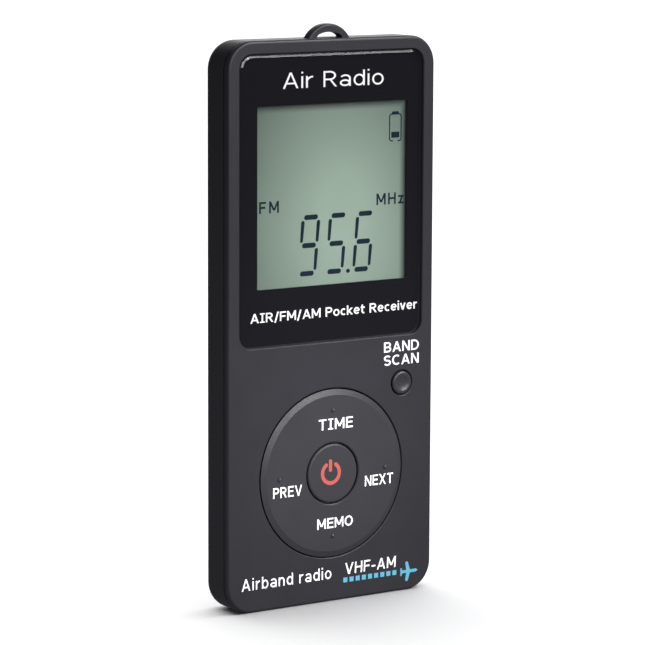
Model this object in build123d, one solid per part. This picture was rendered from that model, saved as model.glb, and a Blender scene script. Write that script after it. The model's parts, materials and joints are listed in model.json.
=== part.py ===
"""Pocket air-band radio: a thin two-part casing with a display, keys, board and battery.

Millimetres. The radio stands on its base with its face towards -Y, +X to the right of a
person looking at the face, and +Z up. The origin is the centre of the base. Every depth is
measured from the flat of the face towards the back, and face_y() turns it into a Y value.
"""

import os
from math import cos, radians, sin

from build123d import *

os.makedirs("parts", exist_ok=True)

# ---------------------------------------------------------------- driving dimensions
WIDTH = 43.6
HEIGHT = 100.0
DEPTH = 8.2
CORNER_RADIUS = 5.0
FRONT_EDGE_RADIUS = 0.5
REAR_EDGE_RADIUS = 2.4
WALL = 1.2
REAR_WALL = 1.0
PARTING_DEPTH = 1.2
SHADOW_GAP = 0.25

# Display window
LENS_WIDTH = 38.8
LENS_BOTTOM = 46.7
LENS_TOP = 97.7
LENS_RADIUS = 2.5
LENS_GAP = 0.12
LENS_FACE_DEPTH = 0.02
LENS_BACK_DEPTH = 0.80
# How far in from the rim, and how far behind the lens face, each band of the edge starts
LENS_EDGE = ((0.62, 0.0), (0.50, 0.01), (0.15, 0.125), (0.05, 0.20), (0.0, 0.30))
LEDGE_FRONT = 0.90
LEDGE_BACK = 1.30
VIEW_LEFT = -15.3
VIEW_RIGHT = 16.5
VIEW_BOTTOM = 56.8
VIEW_TOP = 88.7
GLASS_HALF = 17.4
GLASS_TOP = 90.8
FRONT_GLASS_BOTTOM = 52.6
REAR_GLASS_BOTTOM = 55.6
LED_SPACE = 1.2

# Depths of the layers behind the face
BOARD_FRONT = 3.3
BOARD_BACK = 4.1
SWITCH_TOP = 2.5
SWITCH_BASE_TOP = 2.85
POST_END = 2.2
CAVITY_BACK = DEPTH - REAR_WALL

# Four-way ring, rocker pad and power button
NAV_Z = 23.2
NAV_HOLE_RADIUS = 15.26
RING_RADIUS = 15.02
RING_PROUD = 0.30
RING_BEVEL = 1.0
RING_PLATE_BACK = 0.75
RING_RIM_INNER = 13.4
RING_RIM_BACK = 1.5
RING_TAB_RADIUS = 16.0
RING_TAB_FRONT = 1.75
RING_TAB_BACK = 2.15
RING_TAB_WIDTH = 6.0
NUB_ORBIT = 11.3
NUB_RADIUS = 0.45
PAD_INNER = 6.9
PAD_OUTER = 12.8
PAD_FRONT = 1.05
PAD_BACK = 1.85
PAD_BOSS_RADIUS = 1.4
POWER_HOLE_RADIUS = 5.54
POWER_RADIUS = 5.30
POWER_FLANGE_RADIUS = 6.5
POWER_FLANGE_FRONT = 1.0
POWER_FLANGE_BACK = 1.4

# Scan button
SCAN_X = 15.07
SCAN_Z = 38.1
SCAN_HOLE_RADIUS = 2.30
SCAN_RADIUS = 2.08
SCAN_PROUD = 0.28
SCAN_FLANGE_RADIUS = 2.9

# Keys and slider in the right wall
SIDE_KEY_DEPTH = 4.7
SIDE_KEY_HALF = 1.0
SIDE_KEY_PROUD = 0.5
SIDE_KEY_LENGTH = 8.0
SIDE_KEY_GAP = 0.12
VOLUME_UP_Z = 80.0
VOLUME_DOWN_Z = 69.0
LOCK_Z = 53.5
LOCK_TRAVEL = 2.5
LOCK_KNOB_LENGTH = 5.0
SIDE_SWITCH_FACE = 18.6

# Lanyard loop
LOOP_HALF_CHORD = 4.4
LOOP_RISE = 2.5
LOOP_FRONT = 1.3
LOOP_BACK = 3.2
LOOP_EYE_HALF = 2.7
LOOP_EYE_RISE = 1.05
LOOP_FOOT_HALF = 7.0
LOOP_FOOT_FRONT = 2.1
LOOP_FOOT_BACK = 4.8

# Screws
BOSS_X = 16.9
BOSS_INSET_Z = 4.9
BOSS_RADIUS = 1.9
BOSS_SPLIT_DEPTH = 4.0
SCREW_SEAT_DEPTH = 6.4
SCREW_HEAD_RADIUS = 1.45
SCREW_SHANK_RADIUS = 0.8
STANDOFF_X = 16.8
STANDOFF_Z = 43.2
STANDOFF_RADIUS = 1.6

# Sockets in the base
JACK_X = 10.0
JACK_DEPTH = 4.6
JACK_BORE_RADIUS = 1.8
JACK_NOSE_RADIUS = 2.4
JACK_TOP = 12.4
JACK_NOSE_BOTTOM = 0.4
PORT_X = -7.0
PORT_WIDTH = 7.5
PORT_HEIGHT = 2.5
PORT_BOTTOM = 0.5
PORT_TOP = 5.8
PORT_SHEET = 0.3

# Battery
BATTERY_HALF_WIDTH = 15.2
BATTERY_BOTTOM = 48.0
BATTERY_TOP = 89.0
BATTERY_FRONT = 4.5
BATTERY_BACK = 7.0
LEAD_RADIUS = 0.45
LEAD_BEND = 2.7

# Ferrite aerial
ROD_RADIUS = 1.5
ROD_HALF_LENGTH = 14.0
ROD_Z = 95.2
ROD_DEPTH = 4.7
COIL_RADIUS = 2.0
COIL_HALF_LENGTH = 7.5


# ---------------------------------------------------------------- helpers
def face_y(depth):
    """Y of a point that lies this far behind the flat of the face."""
    return depth - DEPTH / 2


def block(x0, x1, d0, d1, z0, z1):
    """Box between two X values, two depths and two heights."""
    centre = ((x0 + x1) / 2, face_y((d0 + d1) / 2), (z0 + z1) / 2)
    return Pos(*centre) * Box(x1 - x0, d1 - d0, z1 - z0)


def face_plane(depth, x=0.0, z=0.0):
    """Plane parallel to the face, seen from the front, with its origin at x, z."""
    return Plane(origin=(x, face_y(depth), z), x_dir=(1, 0, 0), z_dir=(0, -1, 0))


def slab(x0, x1, z0, z1, radius, d0, d1):
    """Plate with rounded corners between two depths."""
    plane = face_plane(d0, (x0 + x1) / 2, (z0 + z1) / 2)
    outline = plane * RectangleRounded(x1 - x0, z1 - z0, radius)
    return extrude(outline, -(d1 - d0))


def disc(x, z, radius, d0, d1):
    """Round bar that runs from front to back."""
    return extrude(face_plane(d0, x, z) * Circle(radius), -(d1 - d0))


def edges_at_depth(shape, depth):
    """Edges that lie in the plane at this depth."""
    y = face_y(depth)
    return shape.edges().filter_by_position(Axis.Y, y - 0.001, y + 0.001)


def turned(profile, x=0.0, z=0.0):
    """Solid turned about a front-to-back axis from (radius, depth) points."""
    points = [(r, face_y(d)) for r, d in profile]
    face = make_face(Polyline(*points, close=True))
    solid = revolve(face, Axis.Y, 360)
    return Pos(x, 0, z) * solid


def inset_outline(inset, d0, d1):
    """The casing outline drawn in by the inset, between two depths."""
    half = WIDTH / 2 - inset
    return slab(-half, half, inset, HEIGHT - inset, max(CORNER_RADIUS - inset, 0.5), d0, d1)


def boss_places():
    """X and Z of the four shell screws."""
    return [(sx * BOSS_X, z) for sx in (-1, 1) for z in (BOSS_INSET_Z, HEIGHT - BOSS_INSET_Z)]


def nav_places(orbit):
    """Up, right, down and left of the ring's centre."""
    angles = {"up": 90, "right": 0, "down": -90, "left": 180}
    return {
        name: (orbit * cos(radians(a)), NAV_Z + orbit * sin(radians(a)))
        for name, a in angles.items()
    }


def save(shape, node):
    """Write one node."""
    export_step(shape, f"parts/{node}.step")


# ---------------------------------------------------------------- casing
def front_cover():
    cover = inset_outline(0, 0, PARTING_DEPTH)
    cover = fillet(edges_at_depth(cover, 0), FRONT_EDGE_RADIUS)
    lens_half = LENS_WIDTH / 2
    thick_half = lens_half + 0.3
    cover += slab(-thick_half, thick_half, LENS_BOTTOM - 0.6, LENS_TOP + 0.3, 1.0, 0.6, LEDGE_BACK)
    lip = inset_outline(WALL + 0.05, PARTING_DEPTH, PARTING_DEPTH + 0.8)
    lip -= inset_outline(WALL + 0.75, PARTING_DEPTH, PARTING_DEPTH + 0.8)
    cover += lip
    for x, z in boss_places():
        cover += disc(x, z, BOSS_RADIUS, PARTING_DEPTH, BOSS_SPLIT_DEPTH)
    for sign in (-1, 1):
        cover += disc(sign * STANDOFF_X, STANDOFF_Z, STANDOFF_RADIUS, PARTING_DEPTH, BOARD_FRONT)
    cover -= slab(-lens_half, lens_half, LENS_BOTTOM, LENS_TOP, LENS_RADIUS, -1, LEDGE_FRONT)
    cover -= slab(VIEW_LEFT, VIEW_RIGHT, VIEW_BOTTOM, VIEW_TOP, 0.3, -1, 2)
    cover -= disc(0, NAV_Z, NAV_HOLE_RADIUS, -1, 2)
    cover -= disc(SCAN_X, SCAN_Z, SCAN_HOLE_RADIUS, -1, 2)
    rim_edges = [
        e
        for e in edges_at_depth(cover, 0)
        if abs(e.center().X) < lens_half + 0.1 and LENS_BOTTOM - 0.1 > e.center().Z > 5
    ]
    cover = fillet([e for e in rim_edges if e.geom_type == GeomType.CIRCLE], 0.2)
    recess_edges = [
        e
        for e in edges_at_depth(cover, 0)
        if abs(e.center().X) < lens_half + 0.05
        and LENS_BOTTOM - 0.05 < e.center().Z < LENS_TOP + 0.05
    ]
    cover = chamfer(recess_edges, 0.15)
    for x, z in boss_places():
        cover -= disc(x, z, SCREW_SHANK_RADIUS + 0.05, 1.7, 9)
    for sign in (-1, 1):
        cover -= disc(sign * STANDOFF_X, STANDOFF_Z, 0.65, 1.6, 9)
    return cover


def side_slot(z0, z1):
    """Slot in the right wall for a key or slider, with rounded ends."""
    half = SIDE_KEY_HALF + SIDE_KEY_GAP
    plane = Plane(
        origin=(WIDTH / 2 - 3, face_y(SIDE_KEY_DEPTH), (z0 + z1) / 2),
        x_dir=(0, 1, 0),
        z_dir=(1, 0, 0),
    )
    return extrude(plane * RectangleRounded(2 * half, z1 - z0, half - 0.02), 5)


def rear_shell():
    shell = inset_outline(0, PARTING_DEPTH, DEPTH)
    shell = fillet(edges_at_depth(shell, DEPTH), REAR_EDGE_RADIUS)
    cavity = inset_outline(WALL, PARTING_DEPTH - 1, CAVITY_BACK)
    cavity = fillet(edges_at_depth(cavity, CAVITY_BACK), REAR_WALL)
    shell -= cavity
    gap = inset_outline(-1, PARTING_DEPTH, PARTING_DEPTH + SHADOW_GAP)
    gap -= inset_outline(SHADOW_GAP, PARTING_DEPTH, PARTING_DEPTH + SHADOW_GAP)
    shell -= gap
    for x, z in boss_places():
        shell += disc(x, z, BOSS_RADIUS, BOSS_SPLIT_DEPTH, CAVITY_BACK + 0.2)
    for x in (-11.0, 11.0):
        cradle = block(x - 0.5, x + 0.5, ROD_DEPTH, CAVITY_BACK + 0.2, ROD_Z - 2.2, HEIGHT - WALL / 2)
        shell += cradle
    rod = Cylinder(ROD_RADIUS, 2 * ROD_HALF_LENGTH + 1, rotation=(0, 90, 0))
    shell -= Pos(0, face_y(ROD_DEPTH), ROD_Z) * rod
    for x, z in boss_places():
        shell -= disc(x, z, SCREW_SHANK_RADIUS + 0.15, 3, DEPTH + 1)
        shell -= disc(x, z, SCREW_HEAD_RADIUS + 0.15, SCREW_SEAT_DEPTH, DEPTH + 1)
    for z in (VOLUME_UP_Z, VOLUME_DOWN_Z):
        half = SIDE_KEY_LENGTH / 2 + SIDE_KEY_GAP
        shell -= side_slot(z - half, z + half)
    knob_half = LOCK_KNOB_LENGTH / 2 + 0.2
    shell -= side_slot(LOCK_Z - knob_half, LOCK_Z + LOCK_TRAVEL + knob_half)
    jack_hole = Cylinder(JACK_NOSE_RADIUS + 0.1, 3)
    shell -= Pos(JACK_X, face_y(JACK_DEPTH), 0.5) * jack_hole
    port_y = face_y(BOARD_BACK + PORT_HEIGHT / 2)
    port_hole = RectangleRounded(PORT_WIDTH + 0.8, PORT_HEIGHT + 0.6, 1.0)
    shell -= extrude(Plane(origin=(PORT_X, port_y, -1)) * port_hole, 3)
    loop_half = LOOP_HALF_CHORD + 0.05
    loop_back = LOOP_BACK + 0.05
    shell -= block(-loop_half, loop_half, 0, loop_back, HEIGHT - WALL - 0.5, HEIGHT + 1)
    shell -= slab(-14, 14, 28, 62, 1.5, DEPTH - 0.12, DEPTH + 1)
    return shell


def lanyard_loop():
    """Arched eye on a foot that sits under the top wall."""
    outer_radius = (LOOP_HALF_CHORD**2 + LOOP_RISE**2) / (2 * LOOP_RISE)
    thickness = LOOP_BACK - LOOP_FRONT
    arch = disc(0, HEIGHT + LOOP_RISE - outer_radius, outer_radius, LOOP_FRONT, LOOP_BACK)
    arch &= block(
        -LOOP_HALF_CHORD, LOOP_HALF_CHORD, LOOP_FRONT, LOOP_BACK, HEIGHT - WALL, HEIGHT + 5
    )
    eye = face_plane(LOOP_FRONT, 0, HEIGHT) * Ellipse(LOOP_EYE_HALF, LOOP_EYE_RISE)
    arch -= extrude(eye, -thickness)
    rounded = [e for e in arch.edges() if e.geom_type == GeomType.CIRCLE and e.center().Z > HEIGHT]
    arch = fillet(rounded, 0.4)
    foot = slab(
        -LOOP_FOOT_HALF,
        LOOP_FOOT_HALF,
        HEIGHT - WALL - 1.0,
        HEIGHT - WALL,
        0.4,
        LOOP_FOOT_FRONT,
        LOOP_FOOT_BACK,
    )
    return arch + foot


def rear_label():
    return slab(-13.9, 13.9, 28.1, 61.9, 1.4, DEPTH - 0.12, DEPTH - 0.02)


# ---------------------------------------------------------------- display
def display_lens():
    """Window with a wide shallow bevel and an eased rim."""
    levels = [(inset, LENS_FACE_DEPTH + drop) for inset, drop in LENS_EDGE]
    levels.append((0, LENS_BACK_DEPTH))
    width = LENS_WIDTH - 2 * LENS_GAP
    height = LENS_TOP - LENS_BOTTOM - 2 * LENS_GAP
    middle = (LENS_TOP + LENS_BOTTOM) / 2
    radius = LENS_RADIUS - LENS_GAP
    outlines = [
        face_plane(depth, 0, middle)
        * RectangleRounded(width - 2 * inset, height - 2 * inset, radius - inset)
        for inset, depth in levels
    ]
    return loft(outlines, ruled=True)


def lens_adhesive():
    half = LENS_WIDTH / 2 - 0.3
    frame = slab(-half, half, LENS_BOTTOM + 0.3, LENS_TOP - 0.3, 2.2, LENS_BACK_DEPTH, LEDGE_FRONT)
    return frame - slab(VIEW_LEFT, VIEW_RIGHT, VIEW_BOTTOM, VIEW_TOP, 0.3, 0, 2)


def lcd_frame():
    frame = slab(-18.6, 18.6, 51.4, 92.0, 0.8, LEDGE_BACK, BOARD_FRONT)
    inner = GLASS_HALF + 0.1
    return frame - slab(-inner, inner, FRONT_GLASS_BOTTOM - 0.1, GLASS_TOP + 0.1, 0.2, 0, 5)


def lcd_stack():
    """The thin layers of the display, front to back, each resting on the next."""
    half = GLASS_HALF
    guide_top = GLASS_TOP - LED_SPACE
    layers = [
        ("lcd_polariser", 0.15, half - 0.6, REAR_GLASS_BOTTOM, GLASS_TOP - 0.6),
        ("lcd_front_glass", 0.35, half, FRONT_GLASS_BOTTOM, GLASS_TOP),
        ("lcd_rear_glass", 0.35, half, REAR_GLASS_BOTTOM, GLASS_TOP),
        ("backlight_guide", 0.90, half, REAR_GLASS_BOTTOM, guide_top),
        ("backlight_reflector", 0.20, half, REAR_GLASS_BOTTOM, guide_top),
    ]
    back = BOARD_FRONT
    stack = {}
    for name, thickness, layer_half, low, high in reversed(layers):
        stack[name] = block(-layer_half, layer_half, back - thickness, back, low, high)
        back -= thickness
    behind_front_glass = BOARD_FRONT - sum(thickness for _, thickness, *_ in layers[2:])
    strip_bottom = FRONT_GLASS_BOTTOM + 0.2
    strip_top = REAR_GLASS_BOTTOM - 0.3
    stack["zebra_connector"] = block(
        -16.5, 16.5, behind_front_glass, BOARD_FRONT, strip_bottom, strip_top
    )
    return stack


def backlight_leds():
    """Two side-view LEDs above the guide's top edge."""
    low = GLASS_TOP - LED_SPACE + 0.15
    leds = [block(x - 1.5, x + 1.5, 2.62, BOARD_FRONT, low, low + 0.85) for x in (-9.0, 9.0)]
    return Compound(children=leds)


# ---------------------------------------------------------------- keys on the face
def nav_ring():
    bevel_foot = 0.05
    ring = turned(
        [
            (POWER_HOLE_RADIUS, RING_PLATE_BACK),
            (POWER_HOLE_RADIUS, 0.2 - RING_PROUD),
            (POWER_HOLE_RADIUS + 0.2, -RING_PROUD),
            (RING_RADIUS - RING_BEVEL, -RING_PROUD),
            (RING_RADIUS, bevel_foot),
            (RING_RADIUS, RING_RIM_BACK),
            (RING_RIM_INNER, RING_RIM_BACK),
            (RING_RIM_INNER, RING_PLATE_BACK),
        ],
        0,
        NAV_Z,
    )
    half = RING_TAB_WIDTH / 2
    band = turned(
        [
            (RING_RIM_INNER, RING_RIM_BACK - 0.2),
            (RING_RADIUS, RING_RIM_BACK - 0.2),
            (RING_RADIUS, RING_TAB_FRONT),
            (RING_TAB_RADIUS, RING_TAB_FRONT),
            (RING_TAB_RADIUS, RING_TAB_BACK),
            (RING_RIM_INNER, RING_TAB_BACK),
        ],
        0,
        NAV_Z,
    )
    cross = block(-half, half, 0, 4, NAV_Z - 20, NAV_Z + 20)
    cross += block(-20, 20, 0, 4, NAV_Z - half, NAV_Z + half)
    ring += band & cross
    for x, z in nav_places(NUB_ORBIT).values():
        nub = Pos(x, face_y(-RING_PROUD + 0.12), z) * Sphere(NUB_RADIUS)
        ring += nub & block(-20, 20, -2, 0, 0, 50)
    return ring


def nav_pad():
    pad = disc(0, NAV_Z, PAD_OUTER, PAD_FRONT, PAD_BACK)
    pad -= disc(0, NAV_Z, PAD_INNER, 0, 3)
    for x, z in nav_places(NUB_ORBIT).values():
        pad += disc(x, z, PAD_BOSS_RADIUS, PAD_BACK - 0.2, POST_END)
    return pad


def power_button():
    cap = disc(0, NAV_Z, POWER_RADIUS, -RING_PROUD, POWER_FLANGE_BACK)
    cap = fillet(edges_at_depth(cap, -RING_PROUD), 0.4)
    cap += disc(0, NAV_Z, POWER_FLANGE_RADIUS, POWER_FLANGE_FRONT, POWER_FLANGE_BACK)
    return cap + disc(0, NAV_Z, 1.2, POWER_FLANGE_BACK - 0.2, POST_END)


def scan_button():
    cap = disc(SCAN_X, SCAN_Z, SCAN_RADIUS, -SCAN_PROUD, 1.8)
    cap = fillet(edges_at_depth(cap, -SCAN_PROUD), 0.38)
    dish_radius = 4.2
    dish_sink = 0.26
    dish = Sphere(dish_radius)
    cap -= Pos(SCAN_X, face_y(dish_sink - SCAN_PROUD - dish_radius), SCAN_Z) * dish
    cap += disc(SCAN_X, SCAN_Z, SCAN_FLANGE_RADIUS, PARTING_DEPTH + 0.15, 1.8)
    return cap + disc(SCAN_X, SCAN_Z, 0.9, 1.6, POST_END)


def key_switch(x, z):
    """Low snap-dome switch on the front of the board."""
    half = 2.2
    base = slab(x - half, x + half, z - half, z + half, 0.4, SWITCH_BASE_TOP, BOARD_FRONT)
    return base + disc(x, z, 1.1, SWITCH_TOP, SWITCH_BASE_TOP)


# ---------------------------------------------------------------- keys in the right wall
def side_bar(z0, z1, x0, x1, half, radius):
    """Bar that points along X, with rounded ends, centred on the side keys' depth."""
    plane = Plane(
        origin=(x0, face_y(SIDE_KEY_DEPTH), (z0 + z1) / 2), x_dir=(0, 1, 0), z_dir=(1, 0, 0)
    )
    return extrude(plane * RectangleRounded(2 * half, z1 - z0, radius), x1 - x0)


def volume_key(z, mark_up):
    outer = WIDTH / 2 + SIDE_KEY_PROUD
    half = SIDE_KEY_LENGTH / 2
    key = side_bar(z - half, z + half, 20.0, outer, SIDE_KEY_HALF, SIDE_KEY_HALF - 0.02)
    key = fillet(key.faces().sort_by(Axis.X)[-1].edges(), 0.25)
    key += side_bar(z - half - 0.7, z + half + 0.7, 19.9, 20.45, 1.4, 0.5)
    key += side_bar(z - 0.8, z + 0.8, SIDE_SWITCH_FACE + 1.0, 20.0, 0.7, 0.3)
    groove = block(outer - 0.12, outer + 1, SIDE_KEY_DEPTH - 0.15, SIDE_KEY_DEPTH + 0.15, z - 1, z + 1)
    key -= groove
    if mark_up:
        key -= block(
            outer - 0.12, outer + 1, SIDE_KEY_DEPTH - 0.7, SIDE_KEY_DEPTH + 0.7, z - 0.15, z + 0.15
        )
    return key


def volume_switch(z):
    """Side-push switch on the back of the board, plunger towards the right wall."""
    face = SIDE_SWITCH_FACE
    body = block(face - 2.6, face, BOARD_BACK, BOARD_BACK + 1.6, z - 2.3, z + 2.3)
    plunger = block(face, face + 0.65, BOARD_BACK + 0.3, BOARD_BACK + 1.2, z - 0.9, z + 0.9)
    return body + plunger


def lock_slider():
    outer = WIDTH / 2 + SIDE_KEY_PROUD
    half = LOCK_KNOB_LENGTH / 2
    knob = side_bar(LOCK_Z - half, LOCK_Z + half, 20.0, outer, SIDE_KEY_HALF, SIDE_KEY_HALF - 0.02)
    knob = fillet(knob.faces().sort_by(Axis.X)[-1].edges(), 0.2)
    for step in (-2, -1, 0, 1, 2):
        z = LOCK_Z + step * 0.7
        knob -= block(outer - 0.18, outer + 1, 0, DEPTH, z - 0.12, z + 0.12)
    knob += side_bar(LOCK_Z - half - 2.2, LOCK_Z + half + 2.2, 19.9, 20.45, 1.4, 0.5)
    for side in (-1, 1):
        prong = block(19.0, 20.0, BOARD_BACK + 0.2, BOARD_BACK + 1.0, -0.4, 0.4)
        knob += Pos(0, 0, LOCK_Z + side * 1.25) * prong
    return knob


def lock_switch_lever():
    return block(17.6, 19.75, BOARD_BACK + 0.3, BOARD_BACK + 1.1, LOCK_Z - 0.75, LOCK_Z + 0.75)


def lock_switch():
    face = SIDE_SWITCH_FACE
    low = LOCK_Z - 3.0
    high = LOCK_Z + LOCK_TRAVEL + 3.0
    body = block(face - 2.6, face, BOARD_BACK, BOARD_BACK + 1.6, low, high)
    return body - block(
        face - 1.2,
        face + 1,
        BOARD_BACK + 0.2,
        BOARD_BACK + 1.2,
        LOCK_Z - 0.95,
        LOCK_Z + LOCK_TRAVEL + 0.95,
    )


# ---------------------------------------------------------------- board and its parts
BOARD_HALF = 19.0
BOARD_BOTTOM = 1.9
BOARD_TOP = 92.8


def main_board():
    board = slab(-BOARD_HALF, BOARD_HALF, BOARD_BOTTOM, BOARD_TOP, 0.8, BOARD_FRONT, BOARD_BACK)
    for sign in (-1, 1):
        corner = BOSS_X - BOSS_RADIUS - 0.4
        low, high = sorted((sign * corner, sign * 25))
        board -= block(low, high, 3, 5, -1, BOSS_INSET_Z + BOSS_RADIUS + 0.4)
        board -= disc(sign * STANDOFF_X, STANDOFF_Z, 0.75, 3, 5)
    board -= block(JACK_X - 3.2, JACK_X + 3.2, 3, 5, -1, JACK_TOP + 0.6)
    return board


def controller_chip():
    return slab(3.0, 13.0, 24.5, 34.5, 0.3, BOARD_BACK + 0.1, BOARD_BACK + 1.3)


def controller_leads():
    """Gull-wing leads on all four sides of the controller, drawn as flat bars."""
    pitch = 0.8
    count = 11
    centre_x, centre_z = 8.0, 29.5
    reach, half_chip = 6.0, 5.0
    leads = []
    for step in range(count):
        shift = (step - (count - 1) / 2) * pitch
        for side in (-1, 1):
            near, far = sorted((side * half_chip, side * reach))
            leads.append(
                block(
                    centre_x + near,
                    centre_x + far,
                    BOARD_BACK,
                    BOARD_BACK + 0.2,
                    centre_z + shift - 0.15,
                    centre_z + shift + 0.15,
                )
            )
            leads.append(
                block(
                    centre_x + shift - 0.15,
                    centre_x + shift + 0.15,
                    BOARD_BACK,
                    BOARD_BACK + 0.2,
                    centre_z + near,
                    centre_z + far,
                )
            )
    return Compound(children=leads)


def tuner_shield():
    can = slab(-16.0, -3.0, 23.0, 36.0, 0.6, BOARD_BACK, BOARD_BACK + 1.6)
    can -= slab(-15.8, -3.2, 23.2, 35.8, 0.4, BOARD_BACK - 0.5, BOARD_BACK + 1.4)
    for x in (-13.0, -9.5, -6.0):
        for z in (26.0, 29.5, 33.0):
            can -= disc(x, z, 0.4, BOARD_BACK + 1, BOARD_BACK + 2)
    return can


def ceramic_capacitors():
    """Small chip capacitors in two rows beside the chips."""
    chips = []
    for step in range(6):
        x = -15.0 + 2.4 * step
        chips.append(block(x, x + 1.6, BOARD_BACK, BOARD_BACK + 0.8, 19.6, 20.4))
        chips.append(block(x, x + 1.6, BOARD_BACK, BOARD_BACK + 0.8, 17.0, 17.8))
    return Compound(children=chips)


def tantalum_capacitors():
    blocks = [
        slab(x, x + 3.5, 38.2, 41.0, 0.2, BOARD_BACK, BOARD_BACK + 1.9) for x in (2.5, 7.5, 12.5)
    ]
    return Compound(children=blocks)


def clock_crystal():
    can = Cylinder(1.0, 6.0)
    return Pos(15.6, face_y(BOARD_BACK + 1.0), 30.0) * can


def ferrite_rod():
    rod = Cylinder(ROD_RADIUS, 2 * ROD_HALF_LENGTH, rotation=(0, 90, 0))
    return Pos(0, face_y(ROD_DEPTH), ROD_Z) * rod


def antenna_coil():
    coil = Cylinder(COIL_RADIUS, 2 * COIL_HALF_LENGTH, rotation=(0, 90, 0))
    coil -= Cylinder(ROD_RADIUS, 40, rotation=(0, 90, 0))
    return Pos(0, face_y(ROD_DEPTH), ROD_Z) * coil


# ---------------------------------------------------------------- sockets
def jack_round(radius, z0, z1):
    return Pos(JACK_X, face_y(JACK_DEPTH), (z0 + z1) / 2) * Cylinder(radius, z1 - z0)


def earphone_jack_body():
    half = 3.0
    body = block(JACK_X - half, JACK_X + half, JACK_DEPTH - 2.5, JACK_DEPTH + 2.45, 1.8, JACK_TOP)
    body += jack_round(JACK_NOSE_RADIUS, JACK_NOSE_BOTTOM, 2.5)
    body += block(JACK_X - 4.3, JACK_X + 4.3, BOARD_BACK, BOARD_BACK + 0.9, 3.0, 9.0)
    body -= jack_round(JACK_BORE_RADIUS, 0, JACK_TOP + 1)
    for z in (4.5, 8.0):
        body -= block(JACK_X + 2.2, JACK_X + 4, JACK_DEPTH - 1.0, JACK_DEPTH - 0.5, z - 1.0, z + 1.0)
    return body


def earphone_jack_contacts():
    """Two side springs in their pockets and the tip spring behind the bore."""
    contacts = [
        block(JACK_X + 2.2, JACK_X + 3.0, JACK_DEPTH - 1.0, JACK_DEPTH - 0.5, z - 1.0, z + 1.0)
        for z in (4.5, 8.0)
    ]
    contacts.append(
        block(JACK_X - 2.6, JACK_X + 2.6, JACK_DEPTH - 1.0, JACK_DEPTH + 1.0, JACK_TOP, JACK_TOP + 0.4)
    )
    return Compound(children=contacts)


def port_outline(width, height, radius):
    plane = Plane(origin=(PORT_X, face_y(BOARD_BACK + PORT_HEIGHT / 2), PORT_BOTTOM))
    return plane * RectangleRounded(width, height, radius)


def charging_port_shell():
    length = PORT_TOP - PORT_BOTTOM
    shell = extrude(port_outline(PORT_WIDTH, PORT_HEIGHT, 0.7), length)
    inner = port_outline(PORT_WIDTH - 2 * PORT_SHEET, PORT_HEIGHT - 2 * PORT_SHEET, 0.45)
    return shell - extrude(inner, length - PORT_SHEET)


def charging_port_tongue():
    mid = BOARD_BACK + PORT_HEIGHT / 2
    half = 1.9
    tip = PORT_BOTTOM + 0.8
    tongue = block(PORT_X - half, PORT_X + half, mid - 0.3, mid + 0.2, tip, PORT_TOP - PORT_SHEET)
    inner_half = PORT_WIDTH / 2 - PORT_SHEET - 0.45
    low = BOARD_BACK + PORT_SHEET
    base = block(
        PORT_X - inner_half,
        PORT_X + inner_half,
        low,
        low + PORT_HEIGHT - 2 * PORT_SHEET,
        PORT_TOP - 1.3,
        PORT_TOP - PORT_SHEET,
    )
    return tongue + base


# ---------------------------------------------------------------- battery
def battery_pack():
    half = BATTERY_HALF_WIDTH
    cell = slab(-half, half, BATTERY_BOTTOM, BATTERY_TOP, 0.8, BATTERY_FRONT, BATTERY_BACK)
    upright = cell.edges().filter_by(Axis.Z).group_by(Axis.X)
    return fillet(upright[0] + upright[-1], 0.9)


def battery_pad():
    return block(-10, 10, BATTERY_BACK, CAVITY_BACK, 54, 84)


CONNECTOR_RIGHT = -8.8


def battery_connector():
    return block(CONNECTOR_RIGHT - 5.0, CONNECTOR_RIGHT, BOARD_BACK, BOARD_BACK + 2.2, 40.0, 44.8)


def battery_lead(start_x, end_z):
    """One lead: down from the battery, round one bend and into the connector."""
    depth = BOARD_BACK + 1.2
    bend_start = (start_x, end_z + LEAD_BEND)
    bend_end = (start_x - LEAD_BEND, end_z)
    route = Line((start_x, BATTERY_BOTTOM), bend_start)
    route += RadiusArc(bend_start, bend_end, LEAD_BEND)
    route += Line(bend_end, (CONNECTOR_RIGHT, end_z))
    start = Plane(origin=(start_x, face_y(depth), BATTERY_BOTTOM), z_dir=(0, 0, -1))
    return sweep(start * Circle(LEAD_RADIUS), path=face_plane(depth) * route)


# ---------------------------------------------------------------- fasteners
def cross_recess(x, z, depth, reach):
    """Cross-shaped driver recess cut forwards from a screw head's top."""
    bars = block(x - reach, x + reach, depth - 0.45, depth + 1, z - 0.16, z + 0.16)
    return bars + block(x - 0.16, x + 0.16, depth - 0.45, depth + 1, z - reach, z + reach)


def screw(x, z, seat, head_radius, head_height, shank_radius, tip):
    head = disc(x, z, head_radius, seat, seat + head_height)
    head = fillet(edges_at_depth(head, seat + head_height), 0.25)
    head -= cross_recess(x, z, seat + head_height, head_radius * 0.6)
    return head + disc(x, z, shank_radius, tip, seat)


def shell_screws():
    screws = [
        screw(x, z, SCREW_SEAT_DEPTH, SCREW_HEAD_RADIUS, 0.9, SCREW_SHANK_RADIUS, 2.0)
        for x, z in boss_places()
    ]
    return Compound(children=screws)


def board_screws():
    screws = [
        screw(sign * STANDOFF_X, STANDOFF_Z, BOARD_BACK, 1.25, 0.7, 0.6, 1.8) for sign in (-1, 1)
    ]
    return Compound(children=screws)


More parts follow.
